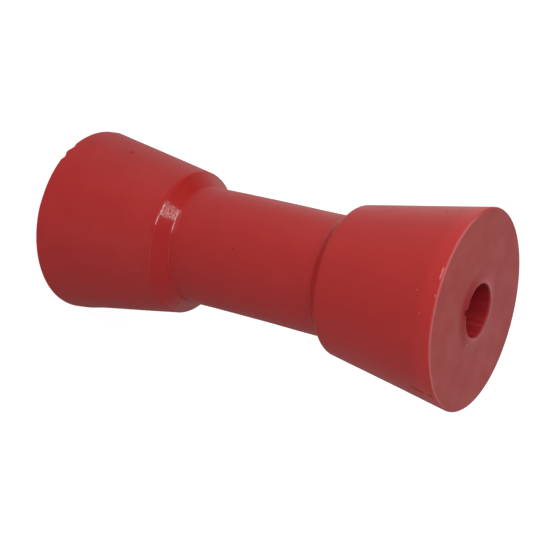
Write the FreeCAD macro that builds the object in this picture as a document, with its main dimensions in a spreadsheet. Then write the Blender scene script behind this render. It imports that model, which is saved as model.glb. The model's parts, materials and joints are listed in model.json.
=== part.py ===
import FreeCAD, Part
import math
import os
import Sketcher

# Keel roller of a boat trailer: one solid casting of red polyurethane, poured about a core pin.
# It is an hourglass on +Z: a long cone at each end, a short step at its small end and a plain waist.
# Lengths are in millimetres. Z = 0 is the crest of the far hub, where the roller stands on its end.
# Bearings are degrees about +Z, counted from +X.

SIZES = {
    "overall_length": 150,       # from hub crest to hub crest
    "end_diameter": 64,          # large end of each cone, before its rim is broken
    "shoulder_diameter": 49,     # small end of each cone
    "waist_diameter": 40,
    "cone_length": 43,
    "step_length": 4.3,          # along the axis, from shoulder to waist
    "bore_diameter": 17,         # turns freely on a 16 mm spindle
    "mouth_bevel": 0.4,          # bevel from the hub crest into the bore
    "hub_diameter": 29,          # where the flat end face starts to flare up to the bore
    "hub_rise": 0.5,             # height of the hub crest above the flat end face
    "rim_bevel": 0.7,
    "shoulder_round": 0.7,
    "waist_round": 0.9,
    "upper_nick_ball": 6,        # radii of the two scoops knocked out of the far rim's corner
    "lower_nick_ball": 2.8,
    "nick_depth": 1.05,          # from the corner before its rim is broken, inwards at 45 degrees
    "upper_nick_bearing": -135,
    "lower_nick_bearing": -125.6,
    "notch_ball": 1.1,           # radius of the bite out of the near mouth of the bore
    "notch_reach": 1.5,          # how far the bite reaches into the wall
    "notch_inset": 0.5,          # depth of the bite's centre below the hub crest
    "notch_bearing": -81,
}

# The corners of the half section at one end, from the bore out to the waist:
# name, radius, and height counted from that end's own hub crest.
CORNERS = (
    ("mouth", "sizes.bore_diameter / 2", "sizes.mouth_bevel"),
    ("crest", "sizes.bore_diameter / 2 + sizes.mouth_bevel", "0"),
    ("hub", "sizes.hub_diameter / 2", "sizes.hub_rise"),
    ("rim", "sizes.end_diameter / 2", "sizes.hub_rise"),
    ("shoulder", "sizes.shoulder_diameter / 2", "sizes.hub_rise + sizes.cone_length"),
    ("waist", "sizes.waist_diameter / 2", "sizes.hub_rise + sizes.cone_length + sizes.step_length"),
)
START, END = 1, 2
ORIGIN_POINT = (-1, 1)
SAME = 1e-4  # two lengths closer than this are one length

doc = FreeCAD.newDocument("keel_roller")


def make_sheet():
    """The driving sizes, one row each: the name, and its value under an alias of the same name."""
    sheet = doc.addObject("Spreadsheet::Sheet", "sizes")
    for row, (name, value) in enumerate(SIZES.items(), start=1):
        sheet.set(f"A{row}", name)
        sheet.set(f"B{row}", str(value))
        sheet.setAlias(f"B{row}", name)
    doc.recompute()
    return sheet


sheet = make_sheet()


def value_of(formula):
    return float(sheet.evalExpression(formula))


def height_formula(end, height):
    """A height counted from one end's hub crest, as a height on the axis."""
    return height if end == "far" else f"sizes.overall_length - ({height})"


def origin_plane(body, role):
    return next(feature for feature in body.Origin.OriginFeatures if feature.Role == role)


def join(sketch, kind, first, second):
    sketch.addConstraint(Sketcher.Constraint(kind, *first, *second))


def fix_corner(sketch, name, point, radius, height):
    """Ties one point of the sketch to the sheet by its radius and its height."""
    for axis, kind, formula in (("radius", "DistanceX", radius), ("height", "DistanceY", height)):
        index = sketch.addConstraint(Sketcher.Constraint(kind, *ORIGIN_POINT, *point, value_of(formula)))
        sketch.renameConstraint(index, f"{name}_{axis}")
        sketch.setExpression(f"Constraints.{name}_{axis}", formula)


def flare_arc(crest, hub, end):
    """The hollow flare from the hub crest out to the flat face, which it meets tangent."""
    span = hub.x - crest.x
    rise = abs(hub.y - crest.y)
    radius = (span**2 + rise**2) / (2 * rise)
    sweep = math.asin(span / radius)
    outward = -1 if end == "far" else 1
    centre = hub + FreeCAD.Vector(0, outward * radius, 0)
    circle = Part.Circle(centre, FreeCAD.Vector(0, 0, 1), radius)
    at_hub = -outward * math.pi / 2
    at_crest = at_hub - outward * sweep
    return Part.ArcOfCircle(circle, min(at_hub, at_crest), max(at_hub, at_crest))


def add_end(sketch, end):
    """Draws one end of the section and returns its points on the bore wall and on the waist."""
    points = []
    for name, radius, height in CORNERS:
        points.append(FreeCAD.Vector(value_of(radius), value_of(height_formula(end, height)), 0))
    mouth, crest, hub, rim, shoulder, waist = points

    bevel = sketch.addGeometry(Part.LineSegment(mouth, crest))
    flare = sketch.addGeometry(flare_arc(crest, hub, end))
    face = sketch.addGeometry(Part.LineSegment(hub, rim))
    cone = sketch.addGeometry(Part.LineSegment(rim, shoulder))
    step = sketch.addGeometry(Part.LineSegment(shoulder, waist))
    flare_at_crest, flare_at_hub = (END, START) if end == "far" else (START, END)

    join(sketch, "Coincident", (bevel, END), (flare, flare_at_crest))
    join(sketch, "Tangent", (flare, flare_at_hub), (face, START))
    join(sketch, "Coincident", (face, END), (cone, START))
    join(sketch, "Coincident", (cone, END), (step, START))
    starts = ((bevel, START), (bevel, END), (face, START), (face, END), (cone, END), (step, END))
    for (name, radius, height), point in zip(CORNERS, starts):
        fix_corner(sketch, f"{end}_{name}", point, radius, height_formula(end, height))
    return (bevel, START), (step, END)


def add_section(body):
    """Half section in the XZ plane: sketch X is the radius and sketch Y the height on the axis."""
    sketch = body.newObject("Sketcher::SketchObject", "half_section")
    sketch.AttachmentSupport = (origin_plane(body, "XZ_Plane"), [""])
    sketch.MapMode = "FlatFace"
    far_mouth, far_waist = add_end(sketch, "far")
    near_mouth, near_waist = add_end(sketch, "near")
    for lower, upper in ((far_mouth, near_mouth), (far_waist, near_waist)):
        line = sketch.addGeometry(Part.LineSegment(sketch.getPoint(*lower), sketch.getPoint(*upper)))
        join(sketch, "Coincident", (line, START), lower)
        join(sketch, "Coincident", (line, END), upper)
    doc.recompute()
    if not sketch.FullyConstrained:
        raise RuntimeError("the section is not fully constrained")
    return sketch


def corner_rings(shape, corner):
    """The two rings of the casting, one at each end, that this corner of the section sweeps."""
    radius, height = next((radius, height) for name, radius, height in CORNERS if name == corner)
    heights = [value_of(height_formula(end, height)) for end in ("far", "near")]
    rings = []
    for number, edge in enumerate(shape.Edges, start=1):
        if isinstance(edge.Curve, Part.Circle) and abs(edge.Curve.Radius - value_of(radius)) < SAME:
            if any(abs(edge.Curve.Center.z - height) < SAME for height in heights):
                rings.append(f"Edge{number}")
    if len(rings) != len(heights):
        raise RuntimeError(f"{corner}: {len(rings)} rings found")
    return rings


def dress_corner(body, kind, name, corner, size_property, size_name):
    """Bevels or rounds one corner of the section at both ends."""
    base = body.Tip
    dressing = body.newObject(kind, name)
    dressing.Base = (base, corner_rings(base.Shape, corner))
    dressing.setExpression(size_property, f"sizes.{size_name}")
    doc.recompute()


def scoop(body, name, ball_radius, bearing, distance, height):
    """Takes a ball out of the casting: its centre is at a bearing, a distance off the axis and a height."""
    before = body.Shape.Volume
    ball = body.newObject("PartDesign::SubtractiveSphere", name)
    ball.AttachmentSupport = (origin_plane(body, "XY_Plane"), [""])
    ball.MapMode = "FlatFace"
    ball.setExpression("Radius", ball_radius)
    ball.setExpression(".AttachmentOffset.Base.x", f"({distance}) * cos({bearing} * 1deg)")
    ball.setExpression(".AttachmentOffset.Base.y", f"({distance}) * sin({bearing} * 1deg)")
    ball.setExpression(".AttachmentOffset.Base.z", height)
    doc.recompute()
    if body.Shape.Volume >= before:
        raise RuntimeError(f"{name} cuts nothing")


def make_roller():
    body = doc.addObject("PartDesign::Body", "roller")
    body.Label = "roller"

    casting = body.newObject("PartDesign::Revolution", "casting")
    casting.Profile = add_section(body)
    casting.ReferenceAxis = (casting.Profile[0], ["V_Axis"])
    casting.Angle = 360
    doc.recompute()

    dress_corner(body, "PartDesign::Chamfer", "broken_rims", "rim", "Size", "rim_bevel")
    dress_corner(body, "PartDesign::Fillet", "round_shoulders", "shoulder", "Radius", "shoulder_round")
    dress_corner(body, "PartDesign::Fillet", "round_waist_ends", "waist", "Radius", "waist_round")

    # Wear: two scoops with a lump left between them on the far rim, and a bite at the near mouth of the bore.
    for place in ("upper", "lower"):
        ball = f"sizes.{place}_nick_ball"
        bearing = f"sizes.{place}_nick_bearing"
        distance = f"sizes.end_diameter / 2 + ({ball} - sizes.nick_depth) * cos(45deg)"
        height = f"sizes.hub_rise - ({ball} - sizes.nick_depth) * sin(45deg)"
        scoop(body, f"{place}_rim_nick", ball, bearing, distance, height)
    scoop(
        body,
        "bore_mouth_notch",
        "sizes.notch_ball",
        "sizes.notch_bearing",
        "sizes.bore_diameter / 2 + sizes.notch_reach - sizes.notch_ball",
        "sizes.overall_length - sizes.notch_inset",
    )
    return body


roller = make_roller()

for item in doc.Objects:
    if "Invalid" in item.State or "Error" in item.State:
        raise RuntimeError(f"{item.Name} failed: {item.State}")
casting_shape = roller.Shape
if casting_shape.isNull() or not casting_shape.isValid() or len(casting_shape.Solids) != 1:
    raise RuntimeError("the roller is not one valid solid")

os.makedirs("parts", exist_ok=True)
casting_shape.exportStep(f"parts/{roller.Label}.step")
print(f"{roller.Label}: {casting_shape.Volume:.0f} mm3")
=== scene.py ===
import json
import math

import bpy
import numpy as np
from mathutils import Matrix, Quaternion, Vector


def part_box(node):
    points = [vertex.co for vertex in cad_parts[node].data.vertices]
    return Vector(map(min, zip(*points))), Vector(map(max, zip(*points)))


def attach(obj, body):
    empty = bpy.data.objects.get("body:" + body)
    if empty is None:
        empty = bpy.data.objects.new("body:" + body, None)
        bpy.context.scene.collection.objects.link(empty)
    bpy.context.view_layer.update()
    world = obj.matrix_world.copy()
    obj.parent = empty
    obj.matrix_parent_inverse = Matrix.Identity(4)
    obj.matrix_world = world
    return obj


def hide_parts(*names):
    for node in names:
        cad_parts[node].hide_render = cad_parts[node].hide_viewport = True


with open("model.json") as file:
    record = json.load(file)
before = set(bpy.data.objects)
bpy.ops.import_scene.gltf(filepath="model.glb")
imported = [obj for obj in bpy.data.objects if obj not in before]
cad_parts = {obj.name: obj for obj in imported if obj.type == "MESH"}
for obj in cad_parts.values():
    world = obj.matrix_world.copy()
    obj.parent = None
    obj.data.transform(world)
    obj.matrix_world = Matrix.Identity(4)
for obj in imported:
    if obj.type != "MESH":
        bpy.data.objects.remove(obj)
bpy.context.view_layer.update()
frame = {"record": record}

# The roller is one solid hourglass of red polyurethane, poured about a core pin that left the bore. It
# turns on a spindle under the keel. The mould gave its cones and waist a satin skin, and its ends are
# trimmed flat and matte. Use has rounded the rims, nicked one of them and chipped the bore's mouth.

# Lengths are in millimetres. Heights go up the axis from the far end, on which the roller stands.
# Bearings are degrees round the axis from -Y, the side that is seen best, towards -X.

MM = 0.001
far_corner, near_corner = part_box("roller")
axle_bore = next(mount for mount in frame["record"]["mounts"] if mount["name"] == "axle_bore")
LENGTH = (near_corner.z - far_corner.z) / MM
BORE_RADIUS = axle_bore["dims"]["r_mm"]
END_RADIUS = 31.94
SHOULDER_RADIUS = 24.6
WAIST_RADIUS = 20.0
LIP_RISE = 0.5           # the bore's lip stands this far above the flat end face
LIP_ROUND = 0.45
FLARE_RADIUS = 14.5      # where the lip has died away into the face
CONE_LENGTH = 43.0
STEP_LENGTH = 4.3
RIM_ROUND = 0.6
FAR_ROUNDS = (0.9, 1.0)         # of the shoulder and of the waist's end
NEAR_ROUNDS = (1.8, 3.2)
MOUTH_DEPTH = 2.0        # the bore's wall has finer rows down to here
BEARINGS = 540           # grid lines round the axis


def graded(start, end, count):
    """Points on a straight run, closer together at both ends: half a cosine wave spreads them."""
    share = (1 - np.cos(np.linspace(0, np.pi, count))) / 2
    return start + share[:, None] * (end - start)


def round_corner(before, corner, after, radius, count):
    """An arc that touches both runs of a corner. Its centre is on the bisector, at the radius over the
    sine of half the corner's angle, and its points turn evenly from one run to the other."""
    back = (before - corner) / np.linalg.norm(before - corner)
    onward = (after - corner) / np.linalg.norm(after - corner)
    half = np.arccos(back @ onward) / 2
    bisector = (back + onward) / np.linalg.norm(back + onward)
    centre = corner + bisector * radius / np.sin(half)
    across = (back - onward) / np.linalg.norm(back - onward)
    turn = np.linspace(1, -1, count) * (np.pi / 2 - half)
    return centre + radius * (np.sin(turn)[:, None] * across - np.cos(turn)[:, None] * bisector)


def lip_flare(crest_radius, count):
    """The lip's fall from its crest to the flat face, a parabola that meets the face level. Its points
    are closer together towards the crest."""
    share = np.linspace(0, 1, count) ** 1.5
    radius = crest_radius + share * (FLARE_RADIUS - crest_radius)
    return np.stack([radius, LIP_RISE * (1 - (1 - share) ** 2)], axis=1)


def end_section(shoulder_round, waist_round):
    """Half of the closed section, from the middle of the bore out over one end to the middle of the
    waist, as radius and depth below the lip's crest. Its corners are joined by straight runs and rounded
    by arcs."""
    middle = LENGTH / 2
    depth_shoulder = LIP_RISE + CONE_LENGTH
    depth_waist = depth_shoulder + STEP_LENGTH
    bore = np.array((BORE_RADIUS, middle))
    below_mouth = np.array((BORE_RADIUS, MOUTH_DEPTH))
    mouth = np.array((BORE_RADIUS, 0))
    crest = np.array((FLARE_RADIUS, 0))
    face = np.array((FLARE_RADIUS, LIP_RISE))
    rim = np.array((END_RADIUS, LIP_RISE))
    shoulder = np.array((SHOULDER_RADIUS, depth_shoulder))
    waist = np.array((WAIST_RADIUS, depth_waist))
    centre = np.array((WAIST_RADIUS, middle))

    mouth_arc = round_corner(bore, mouth, crest, LIP_ROUND, count=5)
    rim_arc = round_corner(face, rim, shoulder, RIM_ROUND, count=8)
    shoulder_arc = round_corner(rim, shoulder, waist, shoulder_round, count=8)
    waist_arc = round_corner(shoulder, waist, centre, waist_round, count=10)
    stretches = (
        np.linspace(bore, below_mouth, 5)[:-1],
        np.linspace(below_mouth, mouth_arc[0], 5)[:-1],
        mouth_arc[:-1],
        lip_flare(mouth_arc[-1, 0], count=10)[:-1],
        graded(face, rim_arc[0], count=9)[:-1],
        rim_arc,
        graded(rim_arc[-1], shoulder_arc[0], count=26)[1:-1],
        shoulder_arc,
        graded(shoulder_arc[-1], waist_arc[0], count=6)[1:-1],
        waist_arc,
        graded(waist_arc[-1], centre, count=8)[1:],
    )
    return np.concatenate(stretches)


def whole_section():
    """The closed section as radius and height on the axis: the near end, then the far end mirrored."""
    near = end_section(*NEAR_ROUNDS)
    near[:, 1] = LENGTH - near[:, 1]
    far = end_section(*FAR_ROUNDS)[::-1]
    return np.concatenate([near, far[1:-1]])


NICKS = ((45.0, 6.0), (35.6, 2.8))      # bearing and ball radius of each nick in the far rim
NICK_DEPTH = 0.95                       # inwards at 45 degrees from the rim's sharp corner
NOTCH_BEARING = -9.0
NOTCH = (8.9, NOTCH_BEARING, LENGTH - 0.5, 1.1)     # its ball: from the axis, bearing, height, radius
WORN_FLATS = ((46.5, 89, 0.42), (2, 34, 0.27))      # bearings each lies between, and how deep it is
FLAT_FADE = 5            # degrees over which a flat fades, to either side of each end
FLAT_HEIGHT = 8          # a flat dies away up to here
BULGE = (-93, 6, 0.3)           # bearing, height and how far it stands out
BULGE_SPREAD = (9, 3.5)         # degrees, and along the axis
WAIST_BOW = (53, 86, 0.16)      # heights it lies between, and how far it leans towards -X
BOW_FADE = 7
WAIST_SHORT = 0.04       # how far the bowed stretch falls short of its radius
WAVES = (                # size, waves round the axis, radians per millimetre up it, and phase
    (0.035, 3, 0, 0.7),
    (0.025, 5, 1 / 21, 0),
    (0.02, 2, 1 / 6.5, 0),
)
WAVE_FADE = 2            # the waves come in from this far inside the waist's radius to this far outside it
CROWDS = (               # bearing, extra density of grid lines, and its spread in radians
    (45.0, 1.2, 0.6),
    (NOTCH_BEARING, 0.8, 0.25),
)


def crowded_bearings(count):
    """Bearings round the axis in radians, closer together where the rim and the lip are damaged: equal
    shares of the area under one plus a bell curve for each crowd."""
    even = np.linspace(-np.pi, np.pi, 2000)
    crowd = np.ones_like(even)
    for bearing, strength, spread in CROWDS:
        crowd += strength * np.exp(-((even - np.radians(bearing)) / spread) ** 2)
    area = np.cumsum(crowd)
    shares = np.linspace(area[0], area[-1], count, endpoint=False)
    return np.interp(shares, area, even)


def smooth_window(value, low, high, edge):
    """One between two limits and zero outside them, with soft edges: the product of two smooth steps."""
    rise = np.clip((value - low + edge) / (2 * edge), 0, 1)
    fall = np.clip((high + edge - value) / (2 * edge), 0, 1)
    return rise**2 * (3 - 2 * rise) * fall**2 * (3 - 2 * fall)


def bitten(radius, bearing, height, ball):
    """The radius pushed out to the far side of a ball, where the ray along a bearing meets it: the outer
    root of the circle that the ball cuts at that height."""
    away, ball_bearing, ball_height, ball_radius = ball
    turn = bearing - np.radians(ball_bearing)
    under = ball_radius**2 - (away * np.sin(turn)) ** 2 - (height - ball_height) ** 2
    met = (np.cos(turn) > 0) & (under > 0)
    reach = away * np.cos(turn) + np.sqrt(np.where(met, under, 0))
    return np.where(met, np.maximum(radius, reach), radius)


def wear(radius, bearing, height):
    """The radius after the mould's small faults and the wear: sine waves round and up the casting, flats
    that fade as a square up the far cone, a swelling shaped as a bell curve, a waist that is a little
    bowed and a little thin, and the bite at the bore's mouth."""
    degrees = np.degrees(bearing)
    waves = np.zeros_like(radius)
    for size, around, along, phase in WAVES:
        waves += size * np.sin(around * bearing + along * height + phase)
    outside = np.clip((radius - WAIST_RADIUS + WAVE_FADE) / (2 * WAVE_FADE), 0, 1)
    worn = radius + outside * waves

    for flat_from, flat_to, flat_depth in WORN_FLATS:
        flat = smooth_window(degrees, flat_from, flat_to, FLAT_FADE)
        worn -= flat_depth * flat * np.clip(1 - height / FLAT_HEIGHT, 0, 1) ** 2

    bulge_bearing, bulge_height, bulge_size = BULGE
    bulge_turn, bulge_reach = BULGE_SPREAD
    spread = ((degrees - bulge_bearing) / bulge_turn) ** 2 + ((height - bulge_height) / bulge_reach) ** 2
    worn += bulge_size * np.exp(-spread) * (radius > WAIST_RADIUS)

    near_bore = radius < FLARE_RADIUS
    bow_from, bow_to, bow_size = WAIST_BOW
    bow = bow_size * np.sin(bearing) - WAIST_SHORT
    worn += bow * smooth_window(height, bow_from, bow_to, BOW_FADE) * ~near_bore
    return np.where(near_bore, bitten(worn, bearing, height, NOTCH), worn)


def nicked(points):
    """The rim after its nicks: a point inside a ball is pushed straight out from the ball's centre to its
    surface."""
    for bearing, ball in NICKS:
        turn = math.radians(bearing)
        off_corner = (ball - NICK_DEPTH) * math.sin(math.pi / 4)
        away = END_RADIUS + off_corner
        centre = np.array((-away * math.sin(turn), -away * math.cos(turn), LIP_RISE - off_corner))
        offset = points - centre
        distance = np.linalg.norm(offset, axis=-1, keepdims=True)
        points = centre + offset * np.maximum(1, ball / distance)
    return points


def grid_quads(rows, columns):
    """The faces of a grid that closes both ways, each as the numbers of its four points."""
    row, column = np.meshgrid(np.arange(rows), np.arange(columns), indexing="ij")
    next_row = (row + 1) % rows
    next_column = (column + 1) % columns
    corners = ((row, column), (row, next_column), (next_row, next_column), (next_row, column))
    return np.stack([r * columns + c for r, c in corners], axis=-1).reshape(-1, 4)


SEAM = 0.3               # past the bore's wall or below the face, where one finish gives way to the next
SKIN_SLOT, FACE_SLOT, BORE_SLOT = 0, 1, 2       # the order in which the roller takes its materials


def finish_slots(on_end, in_bore):
    """The material of each face: an end's where both its rows lie on the end, the bore's where either
    row lies in the bore, and the skin's everywhere else."""
    face_quads = on_end & np.roll(on_end, -1, axis=0)
    bore_quads = in_bore | np.roll(in_bore, -1, axis=0)
    return np.where(face_quads, FACE_SLOT, np.where(bore_quads, BORE_SLOT, SKIN_SLOT))


# Soft windows, as smooth_window takes them: where each begins and ends, and half the width of its edges.
WORN_HIGHLIT_RIM_BEARINGS = (-75, 60, 12)
SMOOTH_SHADED_LIP_RADII = (0, 13.2, 2.0)
NEAR_CONE_HEIGHTS = (LENGTH - CONE_LENGTH, LENGTH, 4)
NEAR_BAND_HEIGHTS = (LENGTH - 6.2, LENGTH + 5, 2.6)
STEP_MIDDLE = LIP_RISE + CONE_LENGTH + STEP_LENGTH / 2
RUBBED_HEIGHTS = (STEP_MIDDLE - 2.6, STEP_MIDDLE + 3.3, 0.7)
RUBBED_BEARINGS = (15.5, 26.5, 4.5)
RUBBED_EDGE_BEARINGS = (4, 24, 4)
DULL_HEIGHTS = (STEP_MIDDLE - 3.0, STEP_MIDDLE + 2.6, 1.0)
DULL_BEARINGS = (-5, 62, 14)
DULL_EDGE_BEARINGS = (-50, 10, 14)

RIM_REACH = 1            # wear and a painted highlight show this far in and down from the rim's corner
RIM_MIDDLE = 0.45        # the rim's palest ring, of wear and painted highlight, is this far inside the end's radius
RIM_SPREAD = 0.33
LIP_MIDDLE = 0.9         # and the lip's painted highlight is this far outside the bore's
LIP_SPREAD = 0.6
SMOOTH_SHADED_SIDE_POWER = 0.4
NEAR_CONE_SHARE = 0.3    # of the painted light that its band by the rim has
STEP_EDGE = 0.4          # breadth of the far step's two edges
EDGE_DULLNESS = (0.45, 0.7)     # at the shoulder and at the waist


def surface_masks(radius, bearing, height, skin):
    """Where the finish changes, from nothing to all. The rim's pale ring of wear and painted highlight and
    the lip's painted highlight are bell curves of the distance from a ring, the lip's smooth side with its
    painted shade is a power of the bearing's cosine, and the rest are soft windows of height, radius and
    bearing. The near cone's lighter red is painted light."""
    degrees = np.degrees(bearing)
    depth = np.minimum(height, LENGTH - height)
    # The rims' pale ring is partly wear and partly a painted highlight, on the bearings that face the lamps.
    by_rim = (radius > END_RADIUS - RIM_REACH) & (depth < LIP_RISE + RIM_REACH)
    from_rim = np.hypot(radius - END_RADIUS + RIM_MIDDLE, depth - LIP_RISE) / RIM_SPREAD
    worn_edge_and_highlight = np.exp(-(from_rim**2)) * by_rim * smooth_window(degrees, *WORN_HIGHLIT_RIM_BEARINGS)

    # Towards bearing 0 the lip is smoother and painted a darker, redder colour: painted shade.
    smooth_shaded_side = np.clip(np.cos(bearing), 0, 1) ** SMOOTH_SHADED_SIDE_POWER
    # The pale line round the lip, on the side away from bearing 0, is a painted highlight.
    from_lip = np.hypot(radius - BORE_RADIUS - LIP_MIDDLE, depth) / LIP_SPREAD
    lip_highlight = np.exp(-(from_lip**2)) * (1 - smooth_shaded_side)
    smooth_shaded_lip = smooth_window(radius, *SMOOTH_SHADED_LIP_RADII) * smooth_shaded_side * (depth < LIP_RISE + SEAM)

    # Painted light: the near cone is a lighter red, most of all in a band by its rim.
    near_cone = NEAR_CONE_SHARE * smooth_window(height, *NEAR_CONE_HEIGHTS)
    near_band = smooth_window(height, *NEAR_BAND_HEIGHTS)

    step_edge = np.abs(height - STEP_MIDDLE) > STEP_LENGTH / 2 - STEP_EDGE
    patch = smooth_window(degrees, *RUBBED_BEARINGS)
    rubbed_step = smooth_window(height, *RUBBED_HEIGHTS) * skin
    rubbed_edge = smooth_window(degrees, *RUBBED_EDGE_BEARINGS) * step_edge
    rubbed = rubbed_step * np.maximum(patch, rubbed_edge)
    dull_edge = np.where(height < STEP_MIDDLE, *EDGE_DULLNESS) * step_edge
    dull_edge *= smooth_window(degrees, *DULL_EDGE_BEARINGS)
    dull = np.maximum(smooth_window(degrees, *DULL_BEARINGS), dull_edge)
    return {
        "worn_edge_and_highlight": worn_edge_and_highlight,
        "lip_highlight": lip_highlight,
        "smooth_shaded_lip": smooth_shaded_lip,
        "near_painted_light": np.maximum(near_cone, near_band) * skin,
        "step_gloss": rubbed,
        "step_dull": dull * smooth_window(height, *DULL_HEIGHTS) * skin * (1 - rubbed),
        "step_scratched": rubbed_step * patch * ~step_edge,
    }


def build_roller():
    """The section carried round the axis on a grid that closes both ways. The grid's rows follow the
    section and its columns the bearings."""
    section = whole_section()
    radius, bearing, height = np.broadcast_arrays(section[:, :1], crowded_bearings(BEARINGS), section[:, 1:])
    worn = wear(radius, bearing, height)
    points = np.stack([-worn * np.sin(bearing), -worn * np.cos(bearing), height], axis=-1)
    points = nicked(points) * MM
    quads = grid_quads(*radius.shape)
    mesh = bpy.data.meshes.new("moulded_roller")
    mesh.from_pydata(points.reshape(-1, 3), [], quads)
    mesh.polygons.foreach_set("use_smooth", np.ones(len(quads), bool))

    in_bore = radius < BORE_RADIUS + SEAM
    on_end = ~in_bore & (np.minimum(height, LENGTH - height) < LIP_RISE + SEAM)
    slots = finish_slots(on_end, in_bore)
    mesh.polygons.foreach_set("material_index", slots.astype(np.int32).ravel())
    for name, values in surface_masks(radius, bearing, height, ~on_end & ~in_bore).items():
        layer = mesh.attributes.new(name, "FLOAT", "POINT")
        layer.data.foreach_set("value", values.astype(np.float32).ravel())
    mesh.update()
    roller = bpy.data.objects.new("moulded_roller", mesh)
    bpy.context.scene.collection.objects.link(roller)
    return roller


roller = build_roller()


def fill(tree, node, inputs):
    """Sets a node's inputs. Another node's socket is linked, and anything else is a plain value."""
    for key, value in inputs.items():
        if isinstance(value, bpy.types.NodeSocket):
            tree.links.new(value, node.inputs[key])
        else:
            node.inputs[key].default_value = value


def place(tree, kind, inputs=(), **settings):
    """Adds a shader node with its settings and inputs."""
    made = tree.nodes.new(kind)
    for name, value in settings.items():
        setattr(made, name, value)
    fill(tree, made, dict(inputs))
    return made


def combined(tree, operation, values):
    """Several values made one by a chain of Math nodes."""
    total = values[0]
    for value in values[1:]:
        total = place(tree, "ShaderNodeMath", {0: total, 1: value}, operation=operation).outputs[0]
    return total


def sum_of(tree, *values):
    return combined(tree, "ADD", values)


def product_of(tree, *values):
    return combined(tree, "MULTIPLY", values)


def largest_of(tree, *values):
    return combined(tree, "MAXIMUM", values)


def ramp(tree, value, low, high, to_low=0.0, to_high=1.0):
    """A value carried smoothly from one range to another."""
    inputs = {"Value": value, "From Min": low, "From Max": high, "To Min": to_low, "To Max": to_high}
    made = place(tree, "ShaderNodeMapRange", inputs, interpolation_type="SMOOTHSTEP")
    return made.outputs["Result"]


def between(tree, share, at_none, at_full):
    """A value that turns smoothly into another as a share goes from none to full."""
    return ramp(tree, share, 0.0, 1.0, at_none, at_full)


def tinted(tree, share, colour, other):
    """One colour turned into another by a share that changes over the surface. The Mix node numbers its
    factor 0, its two colours 6 and 7, and the mixed colour 2."""
    return place(tree, "ShaderNodeMix", {0: share, 6: colour, 7: other}, data_type="RGBA").outputs[2]


def read_mask(tree, name):
    return place(tree, "ShaderNodeAttribute", attribute_name=name).outputs["Fac"]


def object_point(tree):
    return place(tree, "ShaderNodeTexCoord").outputs["Object"]


def noise(tree, vector, scale, detail):
    inputs = {"Vector": vector, "Scale": scale, "Detail": detail}
    return place(tree, "ShaderNodeTexNoise", inputs).outputs["Fac"]


def new_group(name, inputs, outputs):
    """A shader node group with named sockets. inputs gives each one's kind and first value."""
    tree = bpy.data.node_groups.new(name, "ShaderNodeTree")
    for label, (kind, value) in inputs.items():
        socket = tree.interface.new_socket(label, in_out="INPUT", socket_type=kind)
        socket.default_value = value
    for label in outputs:
        tree.interface.new_socket(label, in_out="OUTPUT", socket_type="NodeSocketFloat")
    entry = tree.nodes.new("NodeGroupInput").outputs
    result = tree.nodes.new("NodeGroupOutput")
    return tree, entry, result


def use_group(tree, group, inputs):
    return place(tree, "ShaderNodeGroup", inputs, node_tree=group).outputs


def cast_grain_group():
    """The casting's grain: a fine height for bump, and slow clouds that vary colour and roughness."""
    inputs = {
        "Grain per Metre": ("NodeSocketFloat", 2000.0),
        "Clouds per Metre": ("NodeSocketFloat", 90.0),
    }
    tree, entry, result = new_group("cast_grain", inputs, ("Height", "Clouds"))
    fine = noise(tree, object_point(tree), entry["Grain per Metre"], detail=3.0)
    clouds = noise(tree, object_point(tree), entry["Clouds per Metre"], detail=5.0)
    fill(tree, result, {"Height": fine, "Clouds": ramp(tree, clouds, 0.3, 0.7)})
    return tree


def small_mark_group():
    """One small mark on the surface: a ball of a given radius about a point, stretched along the axis by
    a given factor. It fades over the outer half of its radius."""
    inputs = {
        "Centre": ("NodeSocketVector", (0.0, 0.0, 0.0)),
        "Radius": ("NodeSocketFloat", 0.0005),
        "Stretch": ("NodeSocketFloat", 1.0),
    }
    tree, entry, result = new_group("small_mark", inputs, ("Mask",))
    ends = {0: object_point(tree), 1: entry["Centre"]}
    offset = place(tree, "ShaderNodeVectorMath", ends, operation="SUBTRACT").outputs[0]
    parts = place(tree, "ShaderNodeSeparateXYZ", {0: offset}).outputs
    stretch = {0: parts["Z"], 1: entry["Stretch"]}
    along = place(tree, "ShaderNodeMath", stretch, operation="DIVIDE").outputs[0]
    shrunk = place(tree, "ShaderNodeCombineXYZ", {"X": parts["X"], "Y": parts["Y"], "Z": along}).outputs[0]
    reach = place(tree, "ShaderNodeVectorMath", {0: shrunk}, operation="LENGTH").outputs["Value"]
    share = place(tree, "ShaderNodeMath", {0: reach, 1: entry["Radius"]}, operation="DIVIDE").outputs[0]
    fill(tree, result, {"Mask": ramp(tree, share, 0.5, 1.0, 1.0, 0.0)})
    return tree


cast_grain = cast_grain_group()
small_mark = small_mark_group()


def marks(tree, rows):
    """All the marks of one kind as one mask. A row is radius from the axis, bearing, height, size and
    stretch along the axis."""
    masks = []
    for away, bearing, height, size, stretch in rows:
        turn = math.radians(bearing)
        centre = (-away * math.sin(turn) * MM, -away * math.cos(turn) * MM, height * MM)
        inputs = {"Centre": centre, "Radius": size * MM, "Stretch": stretch}
        masks.append(use_group(tree, small_mark, inputs)["Mask"])
    return largest_of(tree, *masks)


def bumped(tree, height, strength, distance, **normal):
    """The normal of a height laid over the surface, or over another bump where its normal is given."""
    inputs = {"Height": height, "Strength": strength, "Distance": distance * MM, **normal}
    return place(tree, "ShaderNodeBump", inputs).outputs["Normal"]


def new_material(name):
    material = bpy.data.materials.new(name)
    material.use_nodes = True
    tree = material.node_tree
    return material, tree, tree.nodes["Principled BSDF"]


POLYURETHANE_IOR = 1.5
# Pale pink: wear, pale specks, and the painted highlights on the rims, round the lip and on the near rim.
PALE_WEAR_AND_HIGHLIGHT = (0.68, 0.15, 0.15, 1.0)

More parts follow.
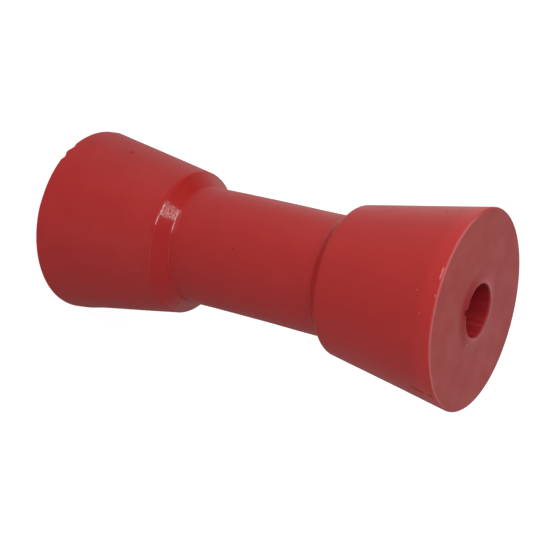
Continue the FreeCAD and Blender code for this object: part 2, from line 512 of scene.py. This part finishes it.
SKIN_RED = (0.425, 0.016, 0.0155, 1.0)
SKIN_DEEP = (0.405, 0.014, 0.0135, 1.0)
# A lighter red for the near cone and its band by the rim: painted light.
PAINTED_LIGHT_RED = (0.49, 0.020, 0.018, 1.0)
PIT_RED = (0.36, 0.006, 0.006, 1.0)
SCUFF_RED = (0.42, 0.008, 0.012, 1.0)
DARK_PITS = ((28.65, 60.2, 19.8, 1.05, 1.0), (20.0, 2.5, 72.1, 0.38, 1.0))
# Pale specks on the near cone and rim. The two long ones at height 148.65 are painted highlights: the lamp's
# glint on the near rim's round.
PALE_SPECKS_AND_GLINTS = (
    (30.75, 3.3, 142.3, 0.23, 1.0),
    (31.16, -8.5, 144.7, 0.23, 1.0),
    (31.75, 15.9, 148.65, 1.5, 0.3),
    (31.75, 13.1, 148.65, 1.4, 0.3),
    (31.8, 2.3, 148.8, 0.35, 1.0),
)
SCUFFS = (
    (30.85, -60.7, 142.4, 1.0, 3.0),
    (31.1, -61.3, 144.2, 1.1, 1.3),
    (31.65, -60.9, 147.3, 0.9, 1.6),
    (30.1, 62.8, 138.2, 0.7, 1.2),
    (20.0, -73.0, 48.2, 0.7, 2.0),
    (21.6, -78.0, 46.3, 0.7, 1.2),
)
SKIN_GRAIN = {"Grain per Metre": 1800.0, "Clouds per Metre": 110.0}
SKIN_ROUGHNESS = (0.38, 0.43)       # between the clouds and in them
SKIN_SHEEN = (0.4, 0.1)             # specular level, and where it is dullest
SKIN_GRAIN_BUMP = (0.35, 0.12)      # its strength, and where it is rubbed
STEP_DULLNESS = 0.85
MARK_ROUGHNESS = 0.25               # added on pits and scuffs
SCRATCHES_PER_METRE = 1300.0
SCRATCH_EDGE = (0.44, 0.56)         # the noise from which a scratch begins and by which it is full
RUBBED_EDGE = (0.85, 1.1)           # the same for the noise and the rubbed mask taken together
RUBBED_SMOOTHER = (-0.2, -0.36)     # added to the roughness, outside the scratches and in them
RUBBED_SHEEN = 0.4                  # added to the specular level


def moulded_skin():
    """The skin of the cones and the waist: satin red, dull on the far step but glossy and scratched where
    the step is rubbed. Painted light makes the near cone a lighter red, most of all in a band by its rim.
    The rims are pale from wear and a painted highlight, and there are dark pits, pale specks, two painted
    glints on the near rim and dark scuffs."""
    material, tree, shader = new_material("moulded_skin")
    grain = use_group(tree, cast_grain, SKIN_GRAIN)
    pits = marks(tree, DARK_PITS)
    scuffs = marks(tree, SCUFFS)
    scratches = noise(tree, object_point(tree), SCRATCHES_PER_METRE, detail=3.0)
    rubbed = ramp(tree, sum_of(tree, read_mask(tree, "step_gloss"), scratches), *RUBBED_EDGE)

    colour = tinted(tree, grain["Clouds"], SKIN_DEEP, SKIN_RED)
    # Painted light on the near cone and by its rim.
    colour = tinted(tree, read_mask(tree, "near_painted_light"), colour, PAINTED_LIGHT_RED)
    uneven = ramp(tree, grain["Height"], low=0.35, high=0.6, to_low=0.55, to_high=1.0)
    # The rims' pale ring: wear and a painted highlight.
    colour = tinted(tree, product_of(tree, read_mask(tree, "worn_edge_and_highlight"), uneven), colour, PALE_WEAR_AND_HIGHLIGHT)
    # Pale specks, and two painted highlights on the near rim.
    colour = tinted(tree, marks(tree, PALE_SPECKS_AND_GLINTS), colour, PALE_WEAR_AND_HIGHLIGHT)
    colour = tinted(tree, scuffs, colour, SCUFF_RED)
    colour = tinted(tree, pits, colour, PIT_RED)

    smoother = product_of(tree, rubbed, ramp(tree, scratches, *SCRATCH_EDGE, *RUBBED_SMOOTHER))
    rougher = product_of(tree, largest_of(tree, scuffs, pits), MARK_ROUGHNESS)
    roughness = sum_of(tree, between(tree, grain["Clouds"], *SKIN_ROUGHNESS), smoother, rougher)
    dull = product_of(tree, read_mask(tree, "step_dull"), STEP_DULLNESS)
    sheen = sum_of(tree, between(tree, dull, *SKIN_SHEEN), product_of(tree, rubbed, RUBBED_SHEEN))

    grain_bump = between(tree, rubbed, *SKIN_GRAIN_BUMP)
    normal = bumped(tree, grain["Height"], strength=grain_bump, distance=0.06)
    scratch_bump = read_mask(tree, "step_scratched")
    normal = bumped(tree, scratches, strength=scratch_bump, distance=0.22, Normal=normal)
    normal = bumped(tree, product_of(tree, pits, -1.0), strength=1.0, distance=0.3, Normal=normal)
    finish = {
        "Base Color": colour,
        "Roughness": roughness,
        "Specular IOR Level": sheen,
        "Normal": normal,
        "IOR": POLYURETHANE_IOR,
    }
    fill(tree, shader, finish)
    return material


FACE_RED = (0.45, 0.025, 0.020, 1.0)
FACE_DUSTY = (0.44, 0.035, 0.030, 1.0)
# A darker, redder colour for the lip's smooth side: painted shade.
SHADED_LIP_RED = (0.385, 0.012, 0.013, 1.0)
# Dark red painted into the lip's notch: painted shade.
NOTCH_SHADE_RED = (0.16, 0.008, 0.008, 1.0)
FACE_SPECKS = ((11.0, -80.1, 149.7, 0.5, 1.0),)
# The ball of painted shade in the notch.
NOTCH_SHADE = ((9.3, NOTCH_BEARING, 149.4, 1.3, 1.0),)
FACE_GRAIN = {"Grain per Metre": 1500.0, "Clouds per Metre": 120.0}
FACE_ROUGHNESS = (0.55, 0.62)       # between the clouds and in them
FACE_SHEEN = (0.5, 0.05)            # specular level, and where it is dullest
LIP_SMOOTHER = -0.15                # added to the roughness
FACE_NOTCH_ROUGHER = 0.3
SMOOTH_LIP_DULLNESS = 0.75
LIP_HIGHLIGHT_DULLNESS = 0.5
LIP_HIGHLIGHT_PINK = (0.7, 0.35)         # how pale the lip's painted highlight is on the face, and in the bore


def trimmed_face():
    """The flat ends: matte and a little dusty. The rim is pale from wear and a painted highlight. On one
    side the lip is smoother and painted a darker, redder colour, which is painted shade, and on the other it
    has a pale painted highlight. The notch in the lip has painted shade.
    """
    material, tree, shader = new_material("trimmed_face")
    grain = use_group(tree, cast_grain, FACE_GRAIN)
    smooth_shaded_lip = read_mask(tree, "smooth_shaded_lip")
    lip_highlight = read_mask(tree, "lip_highlight")
    # Painted shade in the notch, which is also made rougher.
    notch_shade = marks(tree, NOTCH_SHADE)

    colour = tinted(tree, grain["Clouds"], FACE_RED, FACE_DUSTY)
    # Painted shade on the lip's smooth side.
    colour = tinted(tree, smooth_shaded_lip, colour, SHADED_LIP_RED)
    # The rim's pale ring: wear and a painted highlight.
    colour = tinted(tree, read_mask(tree, "worn_edge_and_highlight"), colour, PALE_WEAR_AND_HIGHLIGHT)
    # A painted highlight: the pale line round the lip.
    colour = tinted(tree, product_of(tree, lip_highlight, LIP_HIGHLIGHT_PINK[0]), colour, PALE_WEAR_AND_HIGHLIGHT)
    colour = tinted(tree, marks(tree, FACE_SPECKS), colour, PALE_WEAR_AND_HIGHLIGHT)
    colour = tinted(tree, notch_shade, colour, NOTCH_SHADE_RED)

    smoother = product_of(tree, smooth_shaded_lip, LIP_SMOOTHER)
    rougher = product_of(tree, notch_shade, FACE_NOTCH_ROUGHER)
    dull_smooth = product_of(tree, smooth_shaded_lip, SMOOTH_LIP_DULLNESS)
    dull_lip_highlight = product_of(tree, lip_highlight, LIP_HIGHLIGHT_DULLNESS)
    finish = {
        "Base Color": colour,
        "Roughness": sum_of(tree, between(tree, grain["Clouds"], *FACE_ROUGHNESS), smoother, rougher),
        "Specular IOR Level": between(tree, largest_of(tree, dull_smooth, dull_lip_highlight), *FACE_SHEEN),
        "Normal": bumped(tree, grain["Height"], strength=0.4, distance=0.05),
        "IOR": POLYURETHANE_IOR,
    }
    fill(tree, shader, finish)
    return material


BORE_RED = (0.36, 0.015, 0.020, 1.0)
BORE_PALE = (0.42, 0.032, 0.034, 1.0)
STREAKS_PER_METRE = (900.0, 900.0, 25.0)    # many round the bore, and few along it
BORE_ROUGHNESS = (0.36, 0.46)       # between the streaks and in them
BORE_SHEEN = (0.4, 0.05)            # specular level, and where it is dullest
BORE_NOTCH_ROUGHER = 0.4


def pin_bore():
    """The bore: smooth from the core pin, with faint lengthwise streaks where the pin was drawn."""
    material, tree, shader = new_material("pin_bore")
    drawn = {"Vector": object_point(tree), "Scale": STREAKS_PER_METRE}
    streaks = noise(tree, place(tree, "ShaderNodeMapping", drawn).outputs[0], scale=1.0, detail=2.0)
    # Painted shade in the notch, as on the face, which is also made rougher.
    notch_shade = marks(tree, NOTCH_SHADE)

    colour = tinted(tree, ramp(tree, streaks, 0.45, 0.8), BORE_RED, BORE_PALE)
    # The lip's painted highlight runs a little way into the bore's mouth.
    lip_highlight = product_of(tree, read_mask(tree, "lip_highlight"), LIP_HIGHLIGHT_PINK[1])
    colour = tinted(tree, lip_highlight, colour, PALE_WEAR_AND_HIGHLIGHT)
    colour = tinted(tree, notch_shade, colour, NOTCH_SHADE_RED)

    rougher = product_of(tree, notch_shade, BORE_NOTCH_ROUGHER)
    dull = product_of(tree, read_mask(tree, "smooth_shaded_lip"), SMOOTH_LIP_DULLNESS)
    finish = {
        "Base Color": colour,
        "Roughness": sum_of(tree, ramp(tree, streaks, 0.3, 0.7, *BORE_ROUGHNESS), rougher),
        "Specular IOR Level": between(tree, dull, *BORE_SHEEN),
        "Normal": bumped(tree, streaks, strength=0.3, distance=0.08),
        "IOR": POLYURETHANE_IOR,
    }
    fill(tree, shader, finish)
    return material


for material in (moulded_skin(), trimmed_face(), pin_bore()):
    roller.data.materials.append(material)
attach(roller, "root")
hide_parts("roller")

# The floor is a plain pale sheet under the roller's far end, in a pale room, and both light the roller
# evenly. The camera sees them as white. What the roller mirrors is grey in front of it and nearly white
# behind it, and the floor that it mirrors is paler to the left.

FLOOR_REACH = 4.0                # metres to each side
FLOOR_GREY = (0.5, 0.5, 0.5, 1.0)
WHITE = (1.0, 1.0, 1.0, 1.0)
FLOOR_PICTURED = 0.88
FLOOR_MIRRORED = (0.25, 0.14)    # far to the left of the roller, and far to its right
FLOOR_LIGHT = 0.26
LEFT_FADE = (-0.15, 0.1)         # metres along X over which the left part fades away
RIGHT_FADE = (0.06, 0.22)        # and over which the right part comes in
BEHIND_FADE = (0.0, 0.12)        # metres along Y over which the left part grows paler behind the roller
BEHIND_PALER = 1.8

ROOM_PICTURED = 1.0
ROOM_MIRRORED = (0.2, 0.48, 1.17)     # above the roller, to its right, and behind it
ROOM_LIGHT = 0.18
ROOM_RIGHT_FADE = (0.2, 0.6)     # X of the mirrored direction, over which the right comes in
ROOM_BACK_FADE = (0.55, 0.85)    # and its Y, over which the back comes in


def seen_strength(tree, pictured, mirrored, lighting):
    """A strength that differs by the ray that meets it: one for the picture, one for what the roller
    mirrors, and one for the light that falls on it."""
    path = place(tree, "ShaderNodeLightPath").outputs
    mirror = largest_of(tree, path["Is Glossy Ray"], path["Is Transmission Ray"])
    return between(tree, path["Is Camera Ray"], between(tree, mirror, lighting, mirrored), pictured)


def coordinate(tree, kind, axis):
    vector = place(tree, "ShaderNodeTexCoord").outputs[kind]
    return place(tree, "ShaderNodeSeparateXYZ", {0: vector}).outputs[axis]


def pale_floor():
    """A matte grey that also glows, so that it is white in the picture and still takes a shadow."""
    material, tree, shader = new_material("pale_floor")
    across = coordinate(tree, "Object", "X")
    left, right = FLOOR_MIRRORED
    behind = ramp(tree, coordinate(tree, "Object", "Y"), *BEHIND_FADE, 1.0, BEHIND_PALER)
    on_left = product_of(tree, ramp(tree, across, *LEFT_FADE, left, 0.0), behind)
    mirrored = sum_of(tree, on_left, ramp(tree, across, *RIGHT_FADE, 0.0, right))
    finish = {
        "Base Color": FLOOR_GREY,
        "Roughness": 0.9,
        "Specular IOR Level": 0.0,
        "Emission Color": WHITE,
        "Emission Strength": seen_strength(tree, FLOOR_PICTURED, mirrored, FLOOR_LIGHT),
    }
    fill(tree, shader, finish)
    return material


def make_floor():
    reach = FLOOR_REACH
    corners = [(-reach, -reach, 0), (reach, -reach, 0), (reach, reach, 0), (-reach, reach, 0)]
    mesh = bpy.data.meshes.new("floor")
    mesh.from_pydata(corners, [], [(0, 1, 2, 3)])
    mesh.materials.append(pale_floor())
    floor = bpy.data.objects.new("floor", mesh)
    bpy.context.scene.collection.objects.link(floor)
    return floor


def make_room():
    world = bpy.data.worlds.new("white_room")
    world.use_nodes = True
    tree = world.node_tree
    above, on_right, behind = ROOM_MIRRORED
    in_front = ramp(tree, coordinate(tree, "Generated", "X"), *ROOM_RIGHT_FADE, above, on_right)
    mirrored = ramp(tree, coordinate(tree, "Generated", "Y"), *ROOM_BACK_FADE, in_front, behind)
    strength = seen_strength(tree, ROOM_PICTURED, mirrored, ROOM_LIGHT)
    fill(tree, tree.nodes["Background"], {"Color": WHITE, "Strength": strength})
    return world


make_floor()
bpy.context.scene.world = make_room()

# A small key lamp above the roller's left side has its sharp image on the far step, and a second one lower
# down draws the bright lines at the step's edges. Two broad soft lamps, one low on the right and one on the
# left, fill in the shadows.

LAMPS = (       # name, direction from the roller's middle, distance and width in metres, level
    ("key_lamp", (-0.473, -0.390, 0.79), 1.2, 0.28, 0.105),
    ("low_lamp", (-0.29, -0.70, 0.65), 1.2, 0.30, 0.235),
    ("low_fill", (0.50, -0.80, 0.20), 0.8, 0.7, 0.25),
    ("side_lamp", (-0.93, -0.30, 0.20), 1.0, 1.0, 0.49),
)
ROLLER_MIDDLE = Vector((0, 0, LENGTH * MM / 2))


def make_lamp(name, towards, distance, width, level):
    """A round lamp that points at the roller's middle. level is the light that a surface facing it
    sends back if it is white: the lamp's watts over pi squared times its distance squared."""
    light = bpy.data.lights.new(name, "AREA")
    light.shape = "DISK"
    light.size = width
    light.energy = level * (math.pi * distance) ** 2
    lamp = bpy.data.objects.new(name, light)
    bpy.context.scene.collection.objects.link(lamp)
    direction = Vector(towards).normalized()
    lamp.location = ROLLER_MIDDLE + direction * distance
    lamp.rotation_mode = "QUATERNION"
    lamp.rotation_quaternion = direction.to_track_quat("Z", "Y")
    lamp.visible_camera = False


for lamp_row in LAMPS:
    make_lamp(*lamp_row)

# The camera looks down on the standing roller from in front. It is rolled over to its left, so that the
# roller lies across the picture with its near end to the right.

CAMERA_PLACE = Vector((0.0, -0.385282, 0.301313))
CAMERA_AIM = Vector((0.0053836, 0.0, 0.0800791))
CAMERA_ROLL = 103.9332      # degrees from upright, over to its left
FOCAL_LENGTH = 86.984
SENSOR_WIDTH = 36.0

camera_data = bpy.data.cameras.new("camera")
camera_data.lens = FOCAL_LENGTH
camera_data.sensor_width = SENSOR_WIDTH
camera_data.clip_start = 0.01
camera = bpy.data.objects.new("camera", camera_data)
bpy.context.scene.collection.objects.link(camera)
upright = (CAMERA_AIM - CAMERA_PLACE).to_track_quat("-Z", "Y")
rolled = upright @ Quaternion((0, 0, 1), math.radians(CAMERA_ROLL))
camera.matrix_world = Matrix.LocRotScale(CAMERA_PLACE, rolled, None)
bpy.context.scene.camera = camera

bpy.context.scene.view_settings.view_transform = "Standard"
